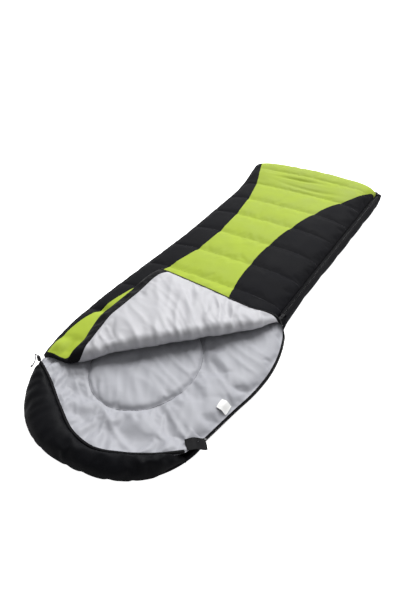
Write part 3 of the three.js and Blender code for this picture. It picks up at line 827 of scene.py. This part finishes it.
def bottom_section(y):
    """Points across the bottom quilt's shell at y, from the left seam under the bag to the right edge."""
    left, right, join = sides_of_bottom(y)
    top_x, top_z = bottom_seam(y)
    wall = [(left + 0.004, LEFT_EDGE_Z + 0.0045), (left + 0.001, LEFT_EDGE_Z + 0.001), (left - 0.002, 0.024),
            (left + 0.001, 0.013), (left + 0.009, 0.004), (left + 0.022, 0.0008)]
    closed_rise = [(right - 0.022, 0.0008), (right - 0.008, 0.0045), (right - 0.001, 0.012), (right, 0.028),
                   (right * 0.6 + top_x * 0.4, 0.0425), (top_x, top_z)]
    open_rise = [(right + x, z) for x, z in OPEN_RISE]
    rise = np.array(open_rise) * (1 - join) + np.array(closed_rise) * join
    floor = [(left + 0.022 + (rise[0, 0] - left - 0.022) * t, UNDERSIDE) for t in np.linspace(0.06, 0.94, 11)]
    return np.concatenate([wall, floor, rise])


shell_rows = rows_between([0.0] + CHANNELS[1:-1] + [SHELL_END], 0.024)
sections = [np.insert(bottom_section(y), 1, y, axis=1) for y in shell_rows]
last = bottom_section(SHELL_END)
foot_edge = 0.030 + 0.0205 * (last[:, 0] - last[0, 0]) / (last[-1, 0] - last[0, 0])
for forward, lift in [(0.020, 0.03), (0.030, 0.25), (0.034, 0.55), (0.032, 0.8), (0.026, 1.0)]:
    z = last[:, 1] + (foot_edge - last[:, 1]) * lift
    inward = 1 - 0.035 * smooth(lift, 0.2, 1.0)
    end_y = np.full(len(last), SHELL_END + forward)
    sections.append(np.stack([last[:, 0] * inward, end_y, np.maximum(z, last[:, 1])], 1))
make("bottom_shell_cloth", grid(sections), "shell_black", "bag", "bottom_shell", "bottom_filling",
     subdivide=2, fill=0.5)

# Hood back: the floor under the hood, with a low wall round its outline.
HOOD_COLUMNS = 97
whole_outline = np.concatenate([OUTLINE, HOOD_SIDE[1:]])
outline = spaced(whole_outline, HOOD_COLUMNS)
head_line = np.linspace((outline[0, 0] - 0.002, 0), (outline[-1, 0], 0), HOOD_COLUMNS)
to_centre = unit(np.array([0.0, -0.05]) - outline)
floor_rows = []
for t in np.linspace(0, 1, 9):
    flat = head_line * (1 - t) + (outline + to_centre * 0.018) * t
    floor_rows.append(np.column_stack([flat, np.full(HOOD_COLUMNS, UNDERSIDE)]))
for inside, z in [(0.006, 0.004), (0.0005, 0.012), (0.001, 0.019), (0.010, 0.0225)]:
    floor_rows.append(np.column_stack([outline + to_centre * inside, np.full(HOOD_COLUMNS, z)]))
make("hood_back_shell", grid(floor_rows), "shell_black", HOOD_BEND, "hood_shell", "hood_filling",
     subdivide=1, fill=0.4)

# ---- bottom lining, running on into the hood ----
LINING_COLUMNS = 95
body_rows = np.concatenate([rows_between([0.0, OPEN_END], PITCH), rows_between([OPEN_END, 1.85], 0.06)[1:]])
HOOD_ROWS = 27
rim_line = spaced(np.concatenate([RIM, [[0.352, -0.060]]]), LINING_COLUMNS)
share = np.linspace(0, 1, LINING_COLUMNS)


def lining_sides(y):
    return sides_of_bottom(y)[0] + 0.010, bottom_seam(y)[0] - 0.045 * smooth(y, 0.622, 0.655)


left, right = lining_sides(np.zeros(1))
hood_start = np.column_stack([left + (right - left) * share, np.zeros(LINING_COLUMNS)])
flat_rows = [hood_start * (1 - t) + rim_line * t for t in np.linspace(1, 0, HOOD_ROWS)[:-1]]
for y in body_rows:
    left, right = lining_sides(np.array([y]))
    flat_rows.append(np.column_stack([left + (right - left) * share, np.full(LINING_COLUMNS, y)]))
flat = np.stack(flat_rows)
toward_rim = np.r_[np.linspace(1, 0, HOOD_ROWS)[:-1], np.zeros(len(body_rows))]
toward_rim = np.repeat(toward_rim[:, None], LINING_COLUMNS, 1)
reach = np.repeat(np.linalg.norm(rim_line - hood_start, axis=1)[None, :], len(flat), 0)
to_rim = (1 - toward_rim) * reach  # distance to the rim, in the hood
in_hood = toward_rim > 0
side_in = np.minimum(share, 1 - share)[None, :] * 0.72 + 0 * toward_rim
z = LINING_Z + 0.004 * smooth(side_in, 0, 0.10) - 0.006 * (1 - smooth(side_in, 0, 0.03))
seam_z = bottom_seam(flat[:, :, 1])[1]
right_in = (1 - share)[None, :] * 0.72 + 0 * toward_rim
z = z + (seam_z - 0.025) * (1 - smooth(right_in, 0, 0.055)) * (1 - toward_rim)
rise = (1 - smooth(to_rim, 0.0, 0.085)) * smooth(toward_rim, 0.0, 0.5)
z = z + np.where(in_hood, (RIM_LINING_Z - z) * rise, 0)
under = smooth(flat[:, :, 1], 0.610, 0.645)
z = z * (1 - under) + 0.026 * under
lining_data = np.column_stack([flat.reshape(-1, 2), z.ravel(), to_rim.ravel(), in_hood.ravel().astype(float),
                               np.repeat(share[None, :], len(flat), 0).ravel()])
low_faces = grid_faces(len(flat), LINING_COLUMNS)


def oval_field(x, y):
    return np.hypot((x - OVAL_CENTRE[0]) / OVAL_RADII[0], (y - OVAL_CENTRE[1]) / OVAL_RADII[1]) - 1


lining_data, low_faces, oval = cut(lining_data, low_faces, oval_field, 0.006)
low = lining_data[:, :3].copy()
rim_gap, is_hood, at_share = lining_data[:, 3], lining_data[:, 4] > 0, lining_data[:, 5]
from_oval = np.abs(oval_field(low[:, 0], low[:, 1])) * 0.22
low[:, 2] += 0.004 * smooth(from_oval, 0.0, 0.03) - 0.004 * np.exp(-(from_oval / 0.008) ** 2)
edge_in = np.minimum(at_share, 1 - at_share) * 0.72
loose = smooth(edge_in, 0.0, 0.05) * np.where(is_hood, smooth(rim_gap, 0.004, 0.035), 1.0)
loose = loose * smooth(0.72 - low[:, 1], 0, 0.05)
creases = folds(low, (0.9, -0.43), 0.060, 27.0) + 0.5 * folds(low, (0.5, -0.8), 0.036, 37.0)
low[:, 2] += 0.0040 * (creases - 0.6) * loose * (0.25 + 0.75 * smooth(from_oval, 0.0, 0.02))
radial = np.sin(at_share * 2 * math.pi * 13 + 2.2 * ripple(low, 0.10, 4.0))
gather = np.where(is_hood, np.exp(-rim_gap / 0.07) * smooth(rim_gap, 0.003, 0.03), 0)
low[:, 2] += 0.0055 * gather * radial
low[:, 2] -= 0.014 * spot(low[:, 0], low[:, 1], -0.340, -0.040, 0.022, 0.022)
left_end = spot(low[:, 0], low[:, 1], -0.325, -0.03, 0.04, 0.07)
low[:, 2] += 0.005 * left_end * smooth(edge_in, 0, 0.01) * np.sin(at_share * 2 * math.pi * 60)
edge = (at_share < 1e-6) | (at_share > 1 - 1e-6) | (is_hood & (rim_gap < 1e-6))
pins = np.where(edge | (np.abs(oval) < 1e-9) | (low[:, 1] > 0.76), 1.0, 0.0)
low = relax(low, low_faces, pins, pressure=0.25, grow=0.035, frames=26, cap=0.006, bend=0.4,
            seed=14.0, size=0.05)
# This lining takes the darker copy of the grey lining, which is painted shade.
make("bottom_lining_cloth", (low, low_faces), "lining_grey", HOOD_BEND, "bottom_lining", "hood_lining",
     look="lining_painted_shade", subdivide=1, fill=0.4)

# The oval of stitching.
on_oval = np.where(np.abs(oval) < 1e-9)[0]
angle = np.arctan2(low[on_oval, 1] - OVAL_CENTRE[1], low[on_oval, 0] - OVAL_CENTRE[0])
loop = low[on_oval[np.argsort(angle)]]
loop = np.concatenate([loop, loop[:1]])
loop = loop[np.r_[True, np.linalg.norm(np.diff(loop, axis=0), axis=1) > 0.001]]
oval_thread = stitches(loop, upward(len(loop)), radius=0.0007, length=0.0042)
make("oval_stitching", oval_thread, None, "bag", look="thread_dark")

# Tape and coil on the open edge. Near the slider the edge turns over to face the top quilt.
open_y = np.linspace(0.004, 0.652, 110)
seam_x, seam_z = bottom_seam(open_y)
seam = np.column_stack([seam_x, open_y, seam_z])
turned = math.pi * smooth(open_y, 0.56, 0.650)
out = np.column_stack([np.cos(turned), 0 * turned, np.sin(turned)])
face = np.column_stack([-np.sin(turned), 0 * turned, np.cos(turned)])
tape_rows = np.stack([seam + out * a for a in (-0.001, 0.003, 0.006, 0.0085)])
tape = np.concatenate([tape_rows + face * TAPE_HALF, (tape_rows - face * TAPE_HALF)[::-1]])
make("open_zip_tape", grid(tape), "zip_tape", "bag", "zip_tape_open")
make("open_zip_coil", coil(seam + out * 0.0092, out, face), "zip_coil", "bag", "zip_coil_open")

# ---- hood cuff, its rim channel and drawcord ----
CUFF_COLUMNS = 110
cuff_out = spaced(OUTLINE, CUFF_COLUMNS)
cuff_in = spaced(RIM, CUFF_COLUMNS)
width = np.linalg.norm(cuff_in - cuff_out, axis=1)
inward = unit(cuff_in - cuff_out)
end = np.minimum(np.linspace(0, 1, CUFF_COLUMNS) / 0.07, (1 - np.linspace(0, 1, CUFF_COLUMNS)) / 0.09)
full = np.sqrt(np.clip(end, 0.02, 1))
cuff_rows = []
for x_in, z in [(0.022, 0.0012), (0.008, 0.0035)]:
    line = cuff_out + inward * np.minimum(x_in, width * 0.5)[:, None]
    cuff_rows.append(np.column_stack([line, np.full(CUFF_COLUMNS, z)]))
for theta in np.linspace(0, math.pi, 17):
    along = (1 - math.cos(theta)) / 2
    base = 0.016 + (CORD_Z - 0.016) * along
    z = base + (0.064 - 0.033) * math.sin(theta) ** 0.85 * full + (full - 1) * 0.036 * along
    if theta < 0.3:
        along -= 0.03 * (1 - theta / 0.3)
    cuff_rows.append(np.column_stack([cuff_out + inward * (width * along)[:, None], z]))
cuff = np.stack(cuff_rows)
cuff_faces = grid_faces(len(cuff_rows), CUFF_COLUMNS)
columns = np.repeat(np.arange(CUFF_COLUMNS)[None, :], len(cuff_rows), 0).ravel()
rows = np.repeat(np.arange(len(cuff_rows))[:, None], CUFF_COLUMNS, 1).ravel()
at_ends = (columns == 0) | (columns == CUFF_COLUMNS - 1)
pins = np.where((rows < 2) | (rows == len(cuff_rows) - 1) | at_ends, 1.0, 0.0)
cuff_points = cuff.reshape(-1, 3)
cuff_wave = ripple(np.column_stack([columns * 0.0085, rows * 0.003, 0 * rows]), 0.030, 21.0)
cuff_points[:, 2] += 0.0028 * cuff_wave * (1 - pins)
cuff_faces = [f[::-1] for f in cuff_faces]
cuff_points = relax(cuff_points, cuff_faces, pins, pressure=0.8, grow=0.04, frames=24, cap=0.004,
                    seed=30.0, size=0.03)
by_lock = np.exp(-((cuff_points[:, 0] + 0.336) / 0.014) ** 4 - ((cuff_points[:, 1] + 0.039) / 0.014) ** 4)
cuff_points[:, 2] -= by_lock * np.maximum(0, cuff_points[:, 2] - 0.0375)
ends = [[r * CUFF_COLUMNS for r in range(len(cuff_rows))],
        [r * CUFF_COLUMNS + CUFF_COLUMNS - 1 for r in range(len(cuff_rows))][::-1]]
make("hood_cuff", (cuff_points, cuff_faces + ends), "shell_black", "hood", "hood_cuff_shell",
     "hood_cuff_filling", look="hood_black", subdivide=1, fill=0.7)

rim_normal = unit(np.column_stack([-np.gradient(cuff_in[:, 1]), np.gradient(cuff_in[:, 0])]))
channel_line = np.column_stack([cuff_in + rim_normal * 0.004, np.full(CUFF_COLUMNS, CORD_Z)])
channel_line[:, 2] += 0.0012 * ripple(channel_line, 0.03, 2.0)
channel_line = channel_line[channel_line[:, 0] > -0.3275]
make("rim_channel", tube(channel_line, 0.0066, sides=10), "binding", "hood", "hood_drawcord_channel",
     subdivide=1)

CORD_RADIUS = 0.002
LOCK_DIRECTION = np.array([-0.914435, 0.404733, 0])
CORD_EXIT = np.array([-0.3269645, -0.0431417, CORD_Z])
TAIL = [CORD_EXIT + LOCK_DIRECTION * reach for reach in (0.0004, 0.008, 0.019, 0.030, 0.038)]
TAIL += [(-0.374, -0.025, 0.046), (-0.380, -0.022, 0.0385), (-0.384, -0.021, 0.029),
         (-0.3855, -0.0215, 0.019), (-0.3855, -0.025, 0.010), (-0.384, -0.032, 0.0046),
         (-0.3815, -0.041, 0.0027), (-0.379, -0.050, 0.0024)]
tail = spaced(TAIL, 40)
cord_curve = bpy.data.curves.new("drawcord", "CURVE")
cord_curve.dimensions = "3D"
cord_curve.bevel_depth = CORD_RADIUS
cord_curve.bevel_resolution = 4
cord_curve.use_fill_caps = True
spline = cord_curve.splines.new("POLY")
spline.points.add(len(tail) - 1)
for point, p in zip(spline.points, place(tail)):
    point.co = (*p, 1)
cord_curve.materials.append(MATERIALS["cord"])
cord_piece = added("drawcord", cord_curve)
finish_piece(cord_piece, "cord", "hood", "drawcord_tail")
turn = np.linspace(0, 2 * math.pi, 60)
KNOT_CENTRE = np.array((-0.3780, -0.0532, 0.0048))
KNOT_SIZE = 0.00115
knot = np.stack([np.sin(turn) + 2 * np.sin(2 * turn),
                 (np.cos(turn) - 2 * np.cos(2 * turn)) * 1.15,
                 -np.sin(3 * turn)], 1)
knot_tube = tube(KNOT_CENTRE + knot * KNOT_SIZE, 0.0017, sides=8, start_cap=False, end_cap=False)
piece = make("drawcord_tied_end", knot_tube, "cord", "hood", "drawcord_knot", subdivide=1)

# ---- the cord lock's spring ----
spring_low, spring_high = drawn_box("cord_lock_spring")
spring_centre = (spring_low + spring_high) / 2
SPRING_TURNS, SPRING_WIRE, SPRING_KEEP = 3.5, 0.00028, 0.12
turn = np.linspace(0, 1, 90)
spring_radius = (spring_high[0] - spring_low[0]) / 2 - SPRING_WIRE
rise = (spring_high[2] - spring_low[2]) / 2 - SPRING_WIRE
turned = turn * SPRING_TURNS * 2 * math.pi
spring_line = spring_centre + np.column_stack([np.cos(turned) * spring_radius, np.sin(turned) * spring_radius,
                                               (2 * turn - 1) * rise])
piece = make("lock_spring_coil", tube(spring_line, SPRING_WIRE, sides=6), "spring", "cord_lock",
             "cord_lock_spring")
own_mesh(piece)

# ---- closed zip ----
zip_dir = np.array([ZIP_SLOPE, 1.0, 0]) / math.hypot(1, ZIP_SLOPE)
zip_side = np.array([zip_dir[1], -zip_dir[0], 0])
for sign, node in ((-1, "top"), (1, "bottom")):
    low_corner, high_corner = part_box(f"zip_coil_{node}")
    length = (high_corner.y - low_corner.y) / zip_dir[1]
    start = np.array([ZIP_START.x, ZIP_START.y, ZIP_Z]) + zip_dir * 0.004 + zip_side * sign * 0.0014
    line = start + np.linspace(0, length - 0.002, 60)[:, None] * zip_dir
    filament = coil(line, np.tile(zip_side * sign, (60, 1)), upward(60))
    make(f"closed_coil_{node}", filament, "zip_coil", "bag", f"zip_coil_{node}")
for node in ("top", "bottom"):
    low_corner, high_corner = drawn_box(f"zip_coil_foot_{node}")
    line = np.stack([low_corner, high_corner])
    line[:, 1] = (low_corner[1] + high_corner[1]) / 2
    line[0, 2] += 0.002
    line[1, 2] -= 0.002
    line = spaced(line, 40)
    filament = coil(line, np.tile([0, 1.0, 0], (40, 1)), upward(40), width=0.0022)
    make(f"foot_coil_{node}", filament, "zip_coil", "bag", f"zip_coil_foot_{node}")

# Fabric over the zip's corner at the foot.
gusset_x, gusset_y = np.meshgrid(np.linspace(0.362, 0.4005, 9), np.linspace(1.868, 1.905, 9), indexing="ij")
down_x, down_y = smooth(gusset_x, 0.386, 0.4005), smooth(gusset_y, 1.888, 1.905)
gusset_z = 0.0545 - 0.014 * np.maximum(down_x, down_y) - 0.003 * down_x * down_y
make("foot_corner", grid(np.stack([gusset_x, gusset_y, gusset_z], -1)), "shell_black", "bag", subdivide=1)

# ---- closure tab and care label ----
TAB = {"at": (0.376, -0.019), "z": 0.0300, "length": 0.070, "width": 0.045, "turn": math.radians(45.9)}


def tab_point(along, side, z):
    c, s = math.cos(TAB["turn"]), math.sin(TAB["turn"])
    lift = 0.020 * float(smooth(-along, 0.002, 0.045)) + 0.0015 * math.sin(60 * side + 40 * along)
    return (TAB["at"][0] + along * c - side * s, TAB["at"][1] + along * s + side * c, TAB["z"] + z + lift)


def pad(nx, ny, length, width, thickness, lift, place_point):
    """A thin sewn rectangle with rounded corners and a slight swell."""
    top, bottom = [], []
    for i in range(nx):
        for j in range(ny):
            u, v = i / (nx - 1) * 2 - 1, j / (ny - 1) * 2 - 1
            squeeze = 1 - 0.05 * max(abs(u), abs(v)) ** 8 * (u * v) ** 2
            edge = (1 - abs(u) ** 10) * (1 - abs(v) ** 10)
            half = thickness / 2 * (0.35 + 0.65 * edge)
            along = -length / 2 + u * squeeze * length / 2
            side = v * squeeze * width / 2
            top.append(place_point(along, side, thickness / 2 + half + lift))
            bottom.append(place_point(along, side, thickness / 2 - half + lift))
    upper = [f[::-1] for f in grid_faces(nx, ny)]
    under = grid_faces(nx, ny, offset=nx * ny)
    rim = [j for j in range(ny)] + [i * ny + ny - 1 for i in range(1, nx)]
    rim += [(nx - 1) * ny + j for j in range(ny - 2, -1, -1)] + [i * ny for i in range(nx - 2, 0, -1)]
    walls = [[a, a + nx * ny, b + nx * ny, b] for a, b in zip(rim, rim[1:] + rim[:1])]
    return np.array(top + bottom), upper + under + walls


tab_cloth = pad(18, 12, TAB["length"], TAB["width"], 0.0022, 0.0, tab_point)
piece = make("closure_tab_cloth", tab_cloth, "binding", "tab", "closure_tab", subdivide=1)
hook_patch = pad(10, 10, 0.030, 0.030, 0.0008, -0.0009,
                 lambda along, side, z: tab_point(along - 0.036, side, z))
make("tab_hook_patch", hook_patch, SLOT_OF["closure_hook_patch"], "tab", "closure_hook_patch")

label_low, label_high = drawn_box("care_label")
LABEL = {"x": label_high[0], "y": (label_low[1] + label_high[1]) / 2, "length": 0.040, "width": 0.042}


def label_point(along, side, z):
    t = -along / LABEL["length"]
    return (LABEL["x"] + along * 0.98, LABEL["y"] + side,
            0.0265 + z + 0.019 * float(smooth(t, 0, 0.55)) + 0.002 * math.sin(side * 90 + 2 * t))


label_cloth = pad(12, 12, LABEL["length"], LABEL["width"], 0.0006, 0.0, label_point)
piece = make("care_label_cloth", label_cloth, "label", "label", "care_label", subdivide=1)

# ---- stitching along the quilting lines ----
stitch_parts = {"thread_green": [], "thread_dark": []}
for y in CHANNELS[2:-1]:
    rows = np.abs(outer_plan[:, 2] - y) < 1e-6
    shown = rows & (fold_distance(outer_plan[:, 0], outer_plan[:, 1]) < -0.004)
    order = np.argsort(outer_plan[shown, 0])
    line, xs = outer[shown][order], outer_plan[shown, 0][order]
    if len(line) < 4:
        continue
    keep = np.r_[True, np.diff(xs) > 1e-5]
    line, xs = line[keep], xs[keep]
    green = (xs > through(y, GREEN_LEFT)) & (xs < through(y, GREEN_RIGHT))
    for colour, chosen in (("thread_green", green), ("thread_dark", ~green)):
        runs = np.split(np.arange(len(line)), np.where(np.diff(chosen.astype(int)))[0] + 1)
        for run in runs:
            if len(run) > 3 and chosen[run[0]]:
                stitch_parts[colour].append(stitches(line[run], upward(len(run)), radius=0.0006))
for colour, parts in stitch_parts.items():
    make(f"quilting_{colour}", merged(parts), None, "bag", look=colour)

# ---- CAD nodes that stay: better materials ----
for node, piece in frame["nodes"].items():
    if piece.hide_render:
        continue
    piece.data.materials.clear()
    piece.data.materials.append(MATERIALS[SLOT_OF[node]])

# ---- floor, light and camera ----
FLOOR = 30  # half its side
ground = Shading(bpy.data.materials.new("studio_floor"))
ground.set(ground.bsdf, Base_Color=(0.88, 0.88, 0.88, 1), Roughness=0.9, Emission_Color=(1, 1, 1, 1))
seen = ground.node("LightPath").outputs["Is Camera Ray"]
# White where the camera sees it, with less light thrown back.
ground.link(ground.stretch(seen, 0.10, 0.95), ground.bsdf, "Emission Strength")
floor_mesh = bpy.data.meshes.new("studio_floor")
floor_corners = [(-FLOOR, -FLOOR, 0), (FLOOR, -FLOOR, 0), (FLOOR, FLOOR, 0), (-FLOOR, FLOOR, 0)]
floor_mesh.from_pydata(floor_corners, [], [(0, 1, 2, 3)])
floor_mesh.materials.append(ground.owner)
added("studio_floor", floor_mesh)

world = bpy.data.worlds.new("studio")
bpy.context.scene.world = world
sky = Shading(world)
parts = sky.node("SeparateXYZ")
sky.link(sky.node("TexCoord").outputs["Generated"], parts, "Vector")
strength = sky.node("Math")
strength.operation = "MULTIPLY"
# Brighter low down, and brighter from the foot's side.
sky.link(sky.stretch(parts.outputs["Z"], 1.0, 0.42, 0.06, 0.30), strength, 0)
sky.link(sky.stretch(parts.outputs["Y"], 0.40, 1.30, -0.9, 0.9), strength, 1)
background = sky.set(sky.nodes["Background"], Color=(1.0, 1.0, 1.0, 1))
sky.link(strength.outputs["Value"], background, "Strength")

key = bpy.data.lights.new("key", "SUN")
key.energy = 3.9
key.angle = math.radians(42)
key_lamp = added("key", key)
key_lamp.rotation_euler = Vector((-0.22, 1.08, 1.25)).to_track_quat("Z", "Y").to_euler()

CAMERA_AZIMUTH = math.radians(31.155)
CAMERA_ELEVATION = math.radians(40.079)
CAMERA_DISTANCE = 2.221
CAMERA_TARGET = Vector((-0.034, 0.618 + HEAD, 0))
camera_data = bpy.data.cameras.new("camera")
camera_data.lens = 30.17
camera_data.sensor_fit = "AUTO"
camera_data.sensor_width = 36
camera = added("camera", camera_data)
back = Vector((math.sin(CAMERA_AZIMUTH) * math.cos(CAMERA_ELEVATION),
               -math.cos(CAMERA_AZIMUTH) * math.cos(CAMERA_ELEVATION), math.sin(CAMERA_ELEVATION)))
camera.location = CAMERA_TARGET + back * CAMERA_DISTANCE
camera.rotation_euler = (-back).to_track_quat("-Z", "Y").to_euler()
bpy.context.scene.camera = camera
bpy.context.scene.view_settings.view_transform = "Standard"
